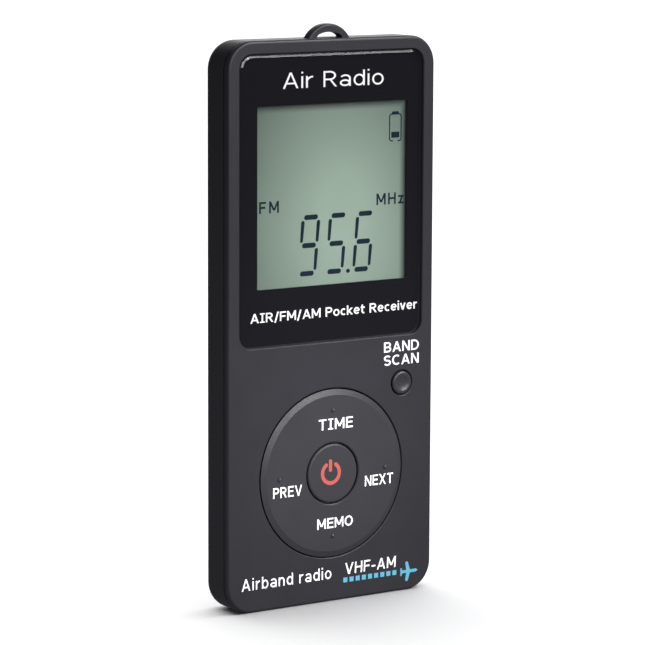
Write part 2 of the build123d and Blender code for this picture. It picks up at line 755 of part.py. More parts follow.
# ---------------------------------------------------------------- write the nodes
save(front_cover(), "front_cover")
save(rear_shell(), "rear_shell")
save(lanyard_loop(), "lanyard_loop")
save(rear_label(), "rear_label")
save(display_lens(), "display_lens")
save(lens_adhesive(), "lens_adhesive")
save(lcd_frame(), "lcd_frame")
for layer_name, layer in lcd_stack().items():
    save(layer, layer_name)
save(backlight_leds(), "backlight_leds")
save(nav_ring(), "nav_ring")
save(nav_pad(), "nav_pad")
save(power_button(), "power_button")
save(scan_button(), "scan_button")
for direction, (switch_x, switch_z) in nav_places(NUB_ORBIT).items():
    save(key_switch(switch_x, switch_z), f"nav_switch_{direction}")
save(key_switch(0, NAV_Z), "power_switch")
save(key_switch(SCAN_X, SCAN_Z), "scan_switch")
save(volume_key(VOLUME_UP_Z, True), "volume_up_key")
save(volume_key(VOLUME_DOWN_Z, False), "volume_down_key")
save(volume_switch(VOLUME_UP_Z), "volume_up_switch")
save(volume_switch(VOLUME_DOWN_Z), "volume_down_switch")
save(lock_slider(), "lock_slider")
save(lock_switch_lever(), "lock_switch_lever")
save(lock_switch(), "lock_switch")
save(main_board(), "main_board")
save(controller_chip(), "controller_chip")
save(controller_leads(), "controller_leads")
save(slab(-11.5, -7.5, 27.5, 31.5, 0.2, BOARD_BACK, BOARD_BACK + 0.9), "tuner_chip")
save(tuner_shield(), "tuner_shield")
save(slab(12.0, 16.0, 15.5, 20.5, 0.2, BOARD_BACK, BOARD_BACK + 1.2), "audio_amplifier")
save(clock_crystal(), "clock_crystal")
save(ceramic_capacitors(), "ceramic_capacitors")
save(tantalum_capacitors(), "tantalum_capacitors")
save(ferrite_rod(), "ferrite_rod")
save(antenna_coil(), "antenna_coil")
save(earphone_jack_body(), "earphone_jack_body")
save(earphone_jack_contacts(), "earphone_jack_contacts")
save(charging_port_shell(), "charging_port_shell")
save(charging_port_tongue(), "charging_port_tongue")
save(battery_pack(), "battery_pack")
save(battery_pad(), "battery_pad")
save(battery_connector(), "battery_connector")
save(Compound(children=[battery_lead(-4.4, 41.6), battery_lead(-5.8, 43.2)]), "battery_leads")
save(shell_screws(), "shell_screws")
save(board_screws(), "board_screws")
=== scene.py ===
"""Looks of the pocket air-band radio: materials, printed lettering, display segments and stage."""

import json
from math import atan2, cos, hypot, pi, radians, sin

import bmesh
import bpy
from mathutils import Matrix, Vector
from mathutils.geometry import delaunay_2d_cdt

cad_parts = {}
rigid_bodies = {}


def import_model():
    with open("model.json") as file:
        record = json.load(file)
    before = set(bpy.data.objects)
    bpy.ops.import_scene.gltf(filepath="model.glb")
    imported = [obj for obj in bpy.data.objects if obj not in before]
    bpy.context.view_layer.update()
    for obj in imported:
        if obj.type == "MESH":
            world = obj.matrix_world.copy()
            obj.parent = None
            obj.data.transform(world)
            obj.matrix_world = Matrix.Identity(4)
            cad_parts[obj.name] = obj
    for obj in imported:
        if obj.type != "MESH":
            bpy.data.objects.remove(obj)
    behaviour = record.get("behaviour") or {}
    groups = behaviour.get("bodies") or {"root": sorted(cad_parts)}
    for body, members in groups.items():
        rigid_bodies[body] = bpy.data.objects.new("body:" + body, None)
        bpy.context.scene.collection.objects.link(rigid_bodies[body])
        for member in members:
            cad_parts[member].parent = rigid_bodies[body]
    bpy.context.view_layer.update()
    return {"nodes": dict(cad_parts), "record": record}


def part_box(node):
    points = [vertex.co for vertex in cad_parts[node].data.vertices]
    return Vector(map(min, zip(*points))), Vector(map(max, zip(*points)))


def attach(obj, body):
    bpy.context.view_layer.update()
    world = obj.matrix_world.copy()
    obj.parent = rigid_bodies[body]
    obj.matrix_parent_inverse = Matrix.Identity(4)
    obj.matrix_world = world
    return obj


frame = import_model()
MM = 0.001

# ---------------------------------------------------------------- places, read from the frame
FACE_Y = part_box("front_cover")[0].y             # front of the cover
LENS_PRINT_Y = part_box("lens_adhesive")[0].y     # back of the lens
FIELD_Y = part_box("lcd_polariser")[0].y          # front of the display film
KEY_FACE_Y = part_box("power_button")[0].y        # front of the ring and of the power button
INK = 0.012 * MM                                # thickness of a printed layer


# ---------------------------------------------------------------- node helpers
class Shade:
    """Small builder for one material's node tree."""

    # places of a mix node's colour sockets; they share their names with the number sockets
    MIX_FACTOR, MIX_FIRST, MIX_SECOND, MIX_RESULT = 0, 6, 7, 2

    def __init__(self, name):
        self.material = bpy.data.materials.new(name)
        self.material.use_nodes = True
        self.tree = self.material.node_tree
        self.tree.nodes.clear()
        self.output = self.add("ShaderNodeOutputMaterial")
        self.coords = self.add("ShaderNodeTexCoord").outputs["Object"]

    def add(self, kind, **settings):
        node = self.tree.nodes.new(kind)
        for key, value in settings.items():
            setattr(node, key, value)
        return node

    def link(self, source, target):
        self.tree.links.new(source, target)

    def fill(self, socket, value):
        """Link a socket, or set a plain colour or number on the node's own socket."""
        if isinstance(value, bpy.types.NodeSocket):
            self.link(value, socket)
        elif socket.type == "RGBA":
            socket.default_value = (*value, 1.0)
        else:
            socket.default_value = value

    def noise(self, scale, detail=2.0, stretch=(1.0, 1.0, 1.0)):
        """Noise in object space. The scale is in features per metre."""
        mapping = self.add("ShaderNodeMapping")
        mapping.inputs["Scale"].default_value = stretch
        self.link(self.coords, mapping.inputs["Vector"])
        node = self.add("ShaderNodeTexNoise")
        node.inputs["Scale"].default_value = scale
        node.inputs["Detail"].default_value = detail
        self.link(mapping.outputs["Vector"], node.inputs["Vector"])
        return node.outputs["Fac"]

    def spread(self, value, low, high, from_low=0.3, from_high=0.7):
        """Map one range of values onto another, held at both ends."""
        node = self.add("ShaderNodeMapRange")
        limits = ("From Min", from_low), ("From Max", from_high), ("To Min", low), ("To Max", high)
        for key, number in limits:
            node.inputs[key].default_value = number
        self.link(value, node.inputs["Value"])
        return node.outputs["Result"]

    def math(self, operation, first, second):
        node = self.add("ShaderNodeMath", operation=operation)
        self.fill(node.inputs[0], first)
        self.fill(node.inputs[1], second)
        return node.outputs[0]

    def mix(self, factor, first, second):
        """Colour between two colours."""
        node = self.add("ShaderNodeMix", data_type="RGBA")
        self.fill(node.inputs[self.MIX_FACTOR], factor)
        self.fill(node.inputs[self.MIX_FIRST], first)
        self.fill(node.inputs[self.MIX_SECOND], second)
        return node.outputs[self.MIX_RESULT]

    def bump(self, height, distance):
        node = self.add("ShaderNodeBump")
        node.inputs["Distance"].default_value = distance
        self.link(height, node.inputs["Height"])
        return node.outputs["Normal"]

    def edge_mask(self, radius):
        """1 on edges and tight corners, 0 on broad faces."""
        sharp, flat = 0.80, 0.995       # agreement of the rounded normal with the plain one
        rounded = self.add("ShaderNodeBevel", samples=4)
        rounded.inputs["Radius"].default_value = radius
        plain = self.add("ShaderNodeNewGeometry")
        agreement = self.add("ShaderNodeVectorMath", operation="DOT_PRODUCT")
        self.link(rounded.outputs["Normal"], agreement.inputs[0])
        self.link(plain.outputs["Normal"], agreement.inputs[1])
        return self.spread(agreement.outputs["Value"], 1.0, 0.0, sharp, flat)

    def axis(self, letter):
        """One object-space coordinate, in metres."""
        node = self.add("ShaderNodeSeparateXYZ")
        self.link(self.coords, node.inputs[0])
        return node.outputs[letter]

    def principled(self, colour, roughness, normal=None, **settings):
        node = self.add("ShaderNodeBsdfPrincipled")
        for key, value in {"Base Color": colour, "Roughness": roughness, **settings}.items():
            self.fill(node.inputs[key.replace("_", " ")], value)
        if normal is not None:
            self.link(normal, node.inputs["Normal"])
        return node.outputs["BSDF"]

    def done(self, shader):
        self.link(shader, self.output.inputs["Surface"])
        return self.material


def scaled(colour, factor):
    return tuple(min(1.0, c * factor) for c in colour)


# ---------------------------------------------------------------- materials
CHARCOAL = (0.0226, 0.0219, 0.0266)
KEY_GREY = (0.0280, 0.0272, 0.0323)
SCAN_GREY = (0.0270, 0.0266, 0.0300)
GLUE_BLACK = (0.0050, 0.0048, 0.0065)

CLOUD_SCALE = 140.0             # features per metre, like every scale below
CLOUD_VARY = 0.06               # share by which the clouds darken and lighten a colour
SPECK_SHARE = 0.25              # strongest mix of the light specks
SPECK_LIGHT = 1.5
RUB_RADIUS = 0.25               # mm
RUB_SHARE = 0.5
RUB_LIGHT = 1.35
ROUGH_VARY = 0.05

CLEAR_IOR = 1.46
CLEAR_ROUGH = 0.03, 0.05

# Field colours: dim outside and lighter inside the painted pool of light on the display
FIELD_PAINTED_DIM = (0.098, 0.133, 0.112)
FIELD_PAINTED_BRIGHT = (0.268, 0.352, 0.290)
FIELD_CLOUD = (0.32, 0.42, 0.35)
FIELD_WEAVE = (0.38, 0.47, 0.41)
# colour of the painted shadow along the window's top and right edges
FIELD_SHADE = (0.048, 0.063, 0.058)
PAINTED_POOL_X = 3.0                    # mm, like the other places on the display
PAINTED_POOL_Z = 70.0
PAINTED_POOL_SQUASH = 1.3               # the painted pool of light is this much narrower than high
PAINTED_POOL_FULL = 6.0                 # radius of even brightness
PAINTED_POOL_END = 30.0                 # radius at which the field is dim
SHADE_TOP = 87.3, 88.7          # shadow of the window's edge along the top
SHADE_RIGHT = 15.1, 16.5        # and along the right


def moulded(name, colour, rough=0.5, grain=9000.0, depth=0.004, rubbed=False, specular=0.5):
    """Moulded plastic: fine spark-eroded grain, faint clouds and, where handled, rubbed edges."""
    s = Shade(name)
    cloud = s.noise(CLOUD_SCALE, 3.0)
    speck = s.noise(grain * 0.6, 1.0)
    dark, light = scaled(colour, 1 - CLOUD_VARY), scaled(colour, 1 + CLOUD_VARY)
    base = s.mix(s.spread(cloud, 0.0, 1.0), dark, light)
    base = s.mix(s.spread(speck, 0.0, SPECK_SHARE), base, scaled(colour, SPECK_LIGHT))
    if rubbed:
        worn = s.math("MULTIPLY", s.edge_mask(RUB_RADIUS * MM), RUB_SHARE)
        base = s.mix(worn, base, scaled(colour, RUB_LIGHT))
    roughness = s.spread(s.noise(grain * 0.25, 2.0), rough - ROUGH_VARY, rough + ROUGH_VARY)
    normal = s.bump(s.noise(grain, 2.0), depth * MM)
    return s.done(s.principled(base, roughness, normal, Specular_IOR_Level=specular))


def clear_plate(name, tint):
    """Thin clear plate: mirror share by Fresnel on outer faces, clear body behind."""
    s = Shade(name)
    fresnel = s.add("ShaderNodeFresnel")
    fresnel.inputs["IOR"].default_value = CLEAR_IOR
    outer = s.math("SUBTRACT", 1.0, s.add("ShaderNodeNewGeometry").outputs["Backfacing"])
    gloss = s.add("ShaderNodeBsdfAnisotropic")
    gloss.inputs["Color"].default_value = (1, 1, 1, 1)
    s.link(s.spread(s.noise(60.0, 3.0), *CLEAR_ROUGH), gloss.inputs["Roughness"])
    clear = s.add("ShaderNodeBsdfTransparent")
    clear.inputs["Color"].default_value = (*tint, 1)
    mixed = s.add("ShaderNodeMixShader")
    s.link(s.math("MULTIPLY", fresnel.outputs[0], outer), mixed.inputs[0])
    s.link(clear.outputs[0], mixed.inputs[1])
    s.link(gloss.outputs[0], mixed.inputs[2])
    return s.done(mixed.outputs[0])


def metal(name, colour, rough, stretch=(1.0, 1.0, 12.0)):
    """Rolled or plated metal with faint drawn lines."""
    s = Shade(name)
    lines = s.noise(2500.0, 3.0, stretch)
    base = s.mix(s.spread(lines, 0.0, 1.0), scaled(colour, 0.82), scaled(colour, 1.08))
    roughness = s.spread(lines, rough - 0.08, rough + 0.1)
    return s.done(s.principled(base, roughness, s.bump(lines, 0.003 * MM), Metallic=1.0))


def printed(name, colour, rough=0.55, specular=0.3):
    """Screen-printed ink, slightly uneven."""
    s = Shade(name)
    patches = s.noise(2200.0, 2.0)
    base = s.mix(s.spread(patches, 0.0, 1.0), scaled(colour, 0.93), colour)
    normal = s.bump(s.noise(12000.0, 1.0), 0.002 * MM)
    roughness = s.spread(patches, rough, rough + 0.1)
    return s.done(s.principled(base, roughness, normal, Specular_IOR_Level=specular))


def display_field(name):
    """Grey-green field of the display, with a painted pool of light brightest near the middle and
    painted shadow along top and right.
    """
    s = Shade(name)
    cloud = s.noise(45.0, 2.0)
    weave = s.noise(6000.0, 1.0)
    squashed = s.add("ShaderNodeVectorMath", operation="MULTIPLY")
    squashed.inputs[1].default_value = (PAINTED_POOL_SQUASH, 0.0, 1.0)
    s.link(s.coords, squashed.inputs[0])
    away = s.add("ShaderNodeVectorMath", operation="DISTANCE")
    away.inputs[1].default_value = Vector((PAINTED_POOL_X * PAINTED_POOL_SQUASH, 0.0, PAINTED_POOL_Z)) * MM
    s.link(squashed.outputs[0], away.inputs[0])
    # painted pool of light: the field is painted lighter near the middle and dimmer outward
    painted_pool = s.spread(away.outputs["Value"], 1.0, 0.0, PAINTED_POOL_FULL * MM, PAINTED_POOL_END * MM)
    base = s.mix(painted_pool, FIELD_PAINTED_DIM, FIELD_PAINTED_BRIGHT)
    base = s.mix(s.spread(cloud, 0.0, 0.12), base, FIELD_CLOUD)
    base = s.mix(s.spread(weave, 0.0, 0.06), base, FIELD_WEAVE)
    # painted shadow of the window's edges along the top and right
    edges = [
        s.spread(s.axis(letter), 0.0, 1.0, start * MM, end * MM)
        for letter, (start, end) in (("Z", SHADE_TOP), ("X", SHADE_RIGHT))
    ]
    base = s.mix(s.math("MAXIMUM", *edges), base, FIELD_SHADE)
    return s.done(s.principled(base, s.spread(weave, 0.55, 0.65), Specular_IOR_Level=0.15))


def board_mask(name):
    """Green solder mask over copper tracks."""
    s = Shade(name)
    mapping = s.add("ShaderNodeMapping")
    mapping.inputs["Rotation"].default_value = (pi / 2, 0, 0)
    s.link(s.coords, mapping.inputs["Vector"])
    tracks = s.add("ShaderNodeTexBrick")
    tracks.inputs["Scale"].default_value = 260.0
    tracks.inputs["Mortar Size"].default_value = 0.06
    s.link(mapping.outputs["Vector"], tracks.inputs["Vector"])
    base = s.mix(tracks.outputs["Fac"], (0.006, 0.034, 0.017), (0.016, 0.082, 0.036))
    normal = s.bump(tracks.outputs["Fac"], 0.03 * MM)
    return s.done(s.principled(base, s.spread(s.noise(900.0), 0.25, 0.4), normal))


def wound_wire(name):
    """Enamelled copper wire in close turns about the X axis."""
    s = Shade(name)
    wave = s.add("ShaderNodeTexWave", wave_type="BANDS", bands_direction="X")
    wave.inputs["Scale"].default_value = 900.0
    wave.inputs["Distortion"].default_value = 0.4
    s.link(s.coords, wave.inputs["Vector"])
    base = s.mix(wave.outputs["Fac"], (0.20, 0.055, 0.02), (0.62, 0.25, 0.10))
    normal = s.bump(wave.outputs["Fac"], 0.08 * MM)
    return s.done(s.principled(base, s.spread(s.noise(3000.0), 0.25, 0.4), normal, Metallic=0.7))


def foil_pouch(name):
    """Crinkled silver laminate of the battery pouch."""
    s = Shade(name)
    creases = s.noise(420.0, 4.0)
    base = s.mix(s.spread(creases, 0.0, 1.0), (0.42, 0.43, 0.45), (0.62, 0.63, 0.65))
    normal = s.bump(creases, 0.15 * MM)
    return s.done(s.principled(base, s.spread(creases, 0.28, 0.42), normal, Metallic=0.8))


# Each slot of the record, with the maker of its material and what the maker is told.
SLOTS = {
    "casing_plastic": (moulded, dict(colour=CHARCOAL, rough=0.39, rubbed=True, specular=0.3)),
    "key_plastic": (moulded, dict(
        colour=KEY_GREY, rough=0.40, grain=11000.0, depth=0.002, rubbed=True, specular=0.4,
    )),
    "scan_key_plastic": (moulded, dict(colour=SCAN_GREY, rough=0.28, grain=11000.0, depth=0.001)),
    "lens_acrylic": (clear_plate, dict(tint=(0.97, 0.97, 0.97))),
    "black_adhesive": (moulded, dict(colour=GLUE_BLACK, rough=0.6, grain=5000.0, depth=0.001)),
    "polariser_film": (display_field, {}),
    "lcd_glass": (clear_plate, dict(tint=(0.86, 0.93, 0.88))),
    "frame_plastic": (moulded, dict(colour=(0.02, 0.02, 0.022), rough=0.55)),
    "light_guide_plastic": (moulded, dict(
        colour=(0.62, 0.72, 0.66), rough=0.2, grain=3000.0, depth=0.002,
    )),
    "reflector_film": (moulded, dict(
        colour=(0.75, 0.77, 0.75), rough=0.35, grain=2000.0, depth=0.001,
    )),
    "led_resin": (moulded, dict(
        colour=(0.80, 0.74, 0.45), rough=0.25, grain=4000.0, depth=0.001,
    )),
    "black_rubber": (moulded, dict(
        colour=(0.03, 0.03, 0.03), rough=0.75, grain=4000.0, depth=0.01,
    )),
    "silicone": (moulded, dict(colour=(0.35, 0.36, 0.37), rough=0.6, grain=4000.0, depth=0.004)),
    "board_laminate": (board_mask, {}),
    "chip_resin": (moulded, dict(
        colour=(0.018, 0.018, 0.020), rough=0.55, grain=14000.0, depth=0.006,
    )),
    "tinned_metal": (metal, dict(colour=(0.62, 0.62, 0.60), rough=0.28)),
    "capacitor_ceramic": (moulded, dict(colour=(0.42, 0.30, 0.18))),
    "capacitor_tantalum": (moulded, dict(colour=(0.55, 0.33, 0.06), rough=0.4)),
    "ferrite": (moulded, dict(colour=(0.045, 0.042, 0.042), grain=6000.0, depth=0.012)),
    "enamelled_copper": (wound_wire, {}),
    "socket_plastic": (moulded, dict(colour=(0.015, 0.015, 0.016), rough=0.45)),
    "gilt_contact": (metal, dict(colour=(0.80, 0.56, 0.20), rough=0.25)),
    "switch_body": (metal, dict(colour=(0.55, 0.55, 0.55), rough=0.35)),
    "switch_lever_plastic": (moulded, dict(colour=(0.02, 0.02, 0.02))),
    "battery_foil": (foil_pouch, {}),
    "connector_nylon": (moulded, dict(colour=(0.75, 0.73, 0.68))),
    "lead_insulation": (moulded, dict(colour=(0.42, 0.02, 0.02), rough=0.45)),
    "black_steel": (metal, dict(
        colour=(0.10, 0.10, 0.105), rough=0.38, stretch=(1.0, 1.0, 1.0),
    )),
    "label_film": (moulded, dict(
        colour=(0.075, 0.075, 0.082), rough=0.35, grain=2600.0, depth=0.001,
    )),
}


def dress_cad_nodes():
    """Give each node the material of its slot."""
    materials = {slot: maker(slot, **values) for slot, (maker, values) in SLOTS.items()}
    slot_of = {part["node"]: part["material_slot"] for part in frame["record"]["subparts"]}
    for name, node in frame["nodes"].items():
        node.data.materials.clear()
        node.data.materials.append(materials[slot_of[name]])


# ---------------------------------------------------------------- outlines
# Every outline is a closed list of (x, z) points.
def box_outline(left, right, low, high):
    """Upright rectangle."""
    return [(left, low), (right, low), (right, high), (left, high)]


def bar_outline(x0, z0, x1, z1, weight):
    """Straight stroke with square ends."""
    length = hypot(x1 - x0, z1 - z0)
    side_x = -(z1 - z0) / length * weight / 2
    side_z = (x1 - x0) / length * weight / 2
    return [
        (x0 + side_x, z0 + side_z), (x0 - side_x, z0 - side_z),
        (x1 - side_x, z1 - side_z), (x1 + side_x, z1 + side_z),
    ]


def slant_outline(x0, z0, x1, z1, weight):
    """Diagonal stroke with level ends."""
    half = weight / 2 * hypot(x1 - x0, z1 - z0) / abs(z1 - z0)
    return [(x0 - half, z0), (x0 + half, z0), (x1 + half, z1), (x1 - half, z1)]


def arc_outline(cx, cz, rx, rz, start, end, weight, steps=28):
    """Curved stroke about a centre, with radii to its middle line and angles in degrees."""
    half = weight / 2
    angles = [radians(start + (end - start) * i / steps) for i in range(steps + 1)]
    outer = [(cx + (rx + half) * cos(a), cz + (rz + half) * sin(a)) for a in angles]
    inner = [(cx + (rx - half) * cos(a), cz + (rz - half) * sin(a)) for a in reversed(angles)]
    return outer + inner


def disc_outline(cx, cz, rx, rz, steps=32):
    """Filled ellipse."""
    angles = [2 * pi * i / steps for i in range(steps)]
    return [(cx + rx * cos(a), cz + rz * sin(a)) for a in angles]


def capsule_outline(x0, z0, x1, z1, radius, end_radius=None, steps=8):
    """Stroke with round ends, which may taper from one radius to another."""
    end_radius = radius if end_radius is None else end_radius
    angle = atan2(z1 - z0, x1 - x0)
    points = []
    for cx, cz, r, turn in ((x1, z1, end_radius, -pi / 2), (x0, z0, radius, pi / 2)):
        for i in range(steps + 1):
            a = angle + turn + pi * i / steps
            points.append((cx + r * cos(a), cz + r * sin(a)))
    return points


# ---------------------------------------------------------------- stroke lettering
def glyph(letter, w):
    """Width and stroke outlines of one letter, 1 high, with stroke weight w."""
    h = w / 2
    low = 0.74                      # height of small letters

    def bars(*ends):
        return [bar_outline(*e, w) for e in ends]

    def slants(*ends):
        return [slant_outline(*e, w) for e in ends]

    def bowl(wide, bottom, top, straight):
        """Closed D-shaped half loop between two levels."""
        mid, reach = (bottom + top) / 2, (top - bottom) / 2 - h
        return bars((0, top - h, straight, top - h), (0, bottom + h, straight, bottom + h)) + [
            arc_outline(straight, mid, wide - h - straight, reach, -90, 90, w)
        ]

    def ring(wide, top, start=0, end=360):
        """Loop in two halves, because one outline can't close on itself."""
        middle, cx, cz = (start + end) / 2, wide / 2, top / 2
        spans = (start, middle + 1), (middle - 1, end)
        return [arc_outline(cx, cz, cx - h, cz - h, *span, w) for span in spans]

    def upright(x, top=1.0, bottom=0.0):
        return bars((x, bottom, x, top))

    if letter == "A":
        side = h * 1.08
        legs = slants((side, 0, 0.43, 1), (0.86 - side, 0, 0.43, 1))
        return 0.86, legs + bars((0.2, 0.31, 0.66, 0.31))
    if letter == "B":
        return 0.74, upright(h) + bowl(0.70, 0.5 - h, 1, 0.36) + bowl(0.74, 0, 0.5 + h, 0.38)
    if letter == "C":
        return 0.80, [arc_outline(0.44, 0.5, 0.44 - h, 0.5 - h, 48, 312, w)]
    if letter == "D":
        return 0.80, upright(h) + bowl(0.80, 0, 1, 0.34)
    if letter == "E":
        arms = bars((h, 1 - h, 0.66, 1 - h), (h, 0.52, 0.62, 0.52), (h, h, 0.66, h))
        return 0.66, upright(h) + arms
    if letter == "F":
        return 0.64, upright(h) + bars((h, 1 - h, 0.64, 1 - h), (h, 0.50, 0.58, 0.50))
    if letter == "H":
        return 0.76, upright(h) + upright(0.76 - h) + bars((h, 0.52, 0.76 - h, 0.52))
    if letter == "I":
        serif = w * 0.8
        level = [bar_outline(0, z, 0.5, z, serif) for z in (serif / 2, 1 - serif / 2)]
        return 0.5, upright(0.25) + level
    if letter == "M":
        notch = slants((h, 1, 0.46, 0.22), (0.92 - h, 1, 0.46, 0.22))
        return 0.92, upright(h) + upright(0.92 - h) + notch
    if letter == "N":
        return 0.78, upright(h) + upright(0.78 - h) + slants((h * 1.2, 1, 0.78 - h * 1.2, 0))
    if letter == "O":
        return 0.86, ring(0.86, 1)
    if letter == "P":
        return 0.70, upright(h) + bowl(0.70, 0.40, 1, 0.36)
    if letter == "R":
        return 0.76, upright(h) + bowl(0.70, 0.42, 1, 0.36) + slants((0.36, 0.5, 0.76 - h * 1.2, 0))
    if letter == "S":
        reach = 0.25 - h / 2
        return 0.70, [
            arc_outline(0.35, 0.75 - h / 2, 0.35 - h, reach, 28, 270, w),
            arc_outline(0.35, 0.25 + h / 2, 0.35 - h, reach, -152, 90, w),
        ]
    if letter == "T":
        return 0.74, upright(0.37) + bars((0, 1 - h, 0.74, 1 - h))
    if letter == "V":
        side = h * 1.08
        return 0.84, slants((side, 1, 0.42, 0), (0.84 - side, 1, 0.42, 0))
    if letter == "X":
        side = h * 1.2
        return 0.80, slants((side, 0, 0.80 - side, 1), (side, 1, 0.80 - side, 0))
    if letter == "/":
        return 0.46, slants((h, -0.12, 0.46 - h, 1.02))
    if letter == "-":
        return 0.40, bars((0, 0.40, 0.40, 0.40))
    if letter == "a":
        shoulder, loop = low * 0.66, low * 0.58
        arch = arc_outline(0.31, shoulder, 0.31 - h, low - h - shoulder, 0, 150, w)
        return 0.62, upright(0.62 - h, shoulder) + [arch] + [
            arc_outline(0.30, loop / 2, 0.30 - h, loop / 2 - h, turn, turn + 181, w)
            for turn in (0, 180)
        ]
    if letter == "b":
        return 0.64, upright(h) + ring(0.64, low)
    if letter == "c":
        return 0.56, [arc_outline(0.31, low / 2, 0.31 - h, low / 2 - h, 50, 310, w)]
    if letter == "d":
        return 0.64, upright(0.64 - h) + ring(0.64, low)
    if letter == "e":
        return 0.63, ring(0.63, low, 0, 318) + bars((h, low / 2, 0.63 - h, low / 2))
    if letter == "i":
        return w, upright(h, low) + upright(h, 1.02, 1.02 - w)
    if letter == "k":
        return 0.62, upright(h) + slants((h, 0.26, 0.60 - h, low), (0.26, 0.36, 0.62 - h, 0))
    if letter == "n":
        spring = low - 0.30
        return 0.60, upright(h, low) + upright(0.60 - h, spring) + [
            arc_outline(0.30, spring, 0.30 - h, 0.30 - h, 0, 180, w)
        ]
    if letter == "o":
        return 0.66, ring(0.66, low)
    if letter == "r":
        arch = arc_outline(0.38, low - 0.36, 0.38 - h, 0.36 - h, 88, 180, w)
        return 0.40, upright(h, low) + [arch]
    if letter == "t":
        return 0.42, upright(0.16, 0.95, 0.2) + bars((0, low - h, 0.42, low - h)) + [
            arc_outline(0.16 + 0.2, 0.2, 0.2, 0.2 - h, 180, 275, w)
        ]
    if letter == "v":
        side = h * 1.1
        return 0.60, slants((side, low, 0.30, 0), (0.60 - side, low, 0.30, 0))
    if letter == "z":
        side = w * 0.8
        levels = bars((0, low - h, 0.56, low - h), (0, h, 0.56, h))
        return 0.56, levels + slants((side, 0, 0.56 - side, low))
    raise ValueError("no glyph for " + letter)


def word_outlines(text, x, z, width, cap, weight, gap=0.16, space=0.42, lean=0.0):
    """Outlines of a word from x, with its baseline at z, fitted to a width; millimetres."""
    pen, strokes = 0.0, []
    for letter in text:
        if letter == " ":
            pen += space
            continue
        wide, outlines = glyph(letter, weight / cap)
        strokes += [[(pen + px, pz) for px, pz in outline] for outline in outlines]
        pen += wide + gap
    stretch = width / ((pen - gap) * cap)
    return [
        [(x + (px * stretch + pz * lean) * cap, z + pz * cap) for px, pz in outline]
        for outline in strokes
    ]


# ---------------------------------------------------------------- flat prints
INSIDE = 1                      # triangulate only what lies inside the outlines
WELD = 1e-5                     # mm within which points are one


def turned_left(outline):
    """The outline with its points running anticlockwise."""
    following = outline[1:] + outline[:1]
    area = sum(x0 * z1 - x1 * z0 for (x0, z0), (x1, z1) in zip(outline, following))
    return outline if area > 0 else outline[::-1]


def plate(name, outlines, y, material, body):
    """One thin closed plate in front of y, the union of closed (x, z) outlines in millimetres."""
    points, faces = [], []
    for outline in outlines:
        faces.append(list(range(len(points), len(points) + len(outline))))
        points += [Vector(p) for p in turned_left(outline)]
    corners, _, triangles, _, _, sources = delaunay_2d_cdt(points, [], faces, INSIDE, WELD)
    mesh = bmesh.new()
    front, back = [
        [mesh.verts.new((p.x * MM, depth, p.y * MM)) for p in corners] for depth in (y - INK, y)
    ]
    rim = {}                        # sides that only one triangle has, in the order found
    for triangle, source in zip(triangles, sources):
        if not source:
            continue
        mesh.faces.new([front[i] for i in triangle])
        mesh.faces.new([back[i] for i in reversed(triangle)])
        for start, end in zip(triangle, triangle[1:] + triangle[:1]):
            if (end, start) in rim:
                del rim[(end, start)]
            else:
                rim[(start, end)] = True
    for start, end in rim:
        mesh.faces.new((front[end], front[start], back[start], back[end]))
    mesh.verts.ensure_lookup_table()
    bmesh.ops.delete(mesh, geom=[v for v in mesh.verts if not v.link_faces], context="VERTS")
    bmesh.ops.recalc_face_normals(mesh, faces=mesh.faces)
    data = bpy.data.meshes.new(name)
    mesh.to_mesh(data)
    mesh.free()
    data.materials.append(material)
    piece = bpy.data.objects.new(name, data)
    bpy.context.scene.collection.objects.link(piece)
    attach(piece, body)
    return piece


# Places and sizes of the prints, in millimetres.
DIGIT_WIDTH = 3.28
DIGIT_HEIGHT = 9.87
DIGIT_LEAN = 0.087                                      # to the right, for each one upwards
SEGMENTS_OF = {"5": "afgcd", "6": "afgedc", "9": "abfgcd"}
DIGITS = ("9", -6.21), ("5", -0.41), ("6", 5.39)        # with their left ends
DIGITS_Z = 58.98
POINT = 4.19, 58.86, 0.42, 0.37                         # centre and radii
SIGN_CAP = 2.05
SIGN_WEIGHT = 0.34

LENS_BORDER = -19.15, 19.15, 46.95, 97.45               # left, right, low, high
LENS_CORNER = 2.25
WINDOW = -15.3, 16.5, 56.8, 88.7

POWER_X, POWER_Z = -0.4, 23.3
POWER_RADIUS = 1.8
POWER_LINE = 0.70
POWER_GAP = 56, 124                                     # degrees left open at the top
POWER_STEM = -0.5, 23.85, -0.5, 25.45, 0.34

TRAIL_X, TRAIL_PITCH, TRAIL_COUNT = 3.02, 1.345, 9
TRAIL_LOW, TRAIL_HIGH, TRAIL_WIDE = 3.05, 3.93, 0.88
PLANE_NOSE, PLANE_Z = 18.85, 3.4


def digit_outlines(digit, x, z):
    """Seven-segment digit, with its lower left corner at x, z."""
    wide, high, mid = DIGIT_WIDTH, DIGIT_HEIGHT, DIGIT_HEIGHT / 2
    thick, top, bottom = 0.44, 0.36, 0.30       # radii: level strokes, upright ones at each end
    clear, inset = 0.55, 0.19

    def level(height):
        return inset + thick, height, wide - inset - thick, height, thick

    def upright(side, foot, head):
        return side, foot + clear + bottom, side, head - clear - top, bottom, top

    spans = {
        "a": level(high), "g": level(mid), "d": level(0.0),
        "f": upright(0.0, mid, high), "b": upright(wide, mid, high),
        "e": upright(0.0, 0.0, mid), "c": upright(wide, 0.0, mid),
    }
    outlines = [capsule_outline(*spans[segment]) for segment in SEGMENTS_OF[digit]]
    return [[(x + px + pz * DIGIT_LEAN, z + pz) for px, pz in outline] for outline in outlines]


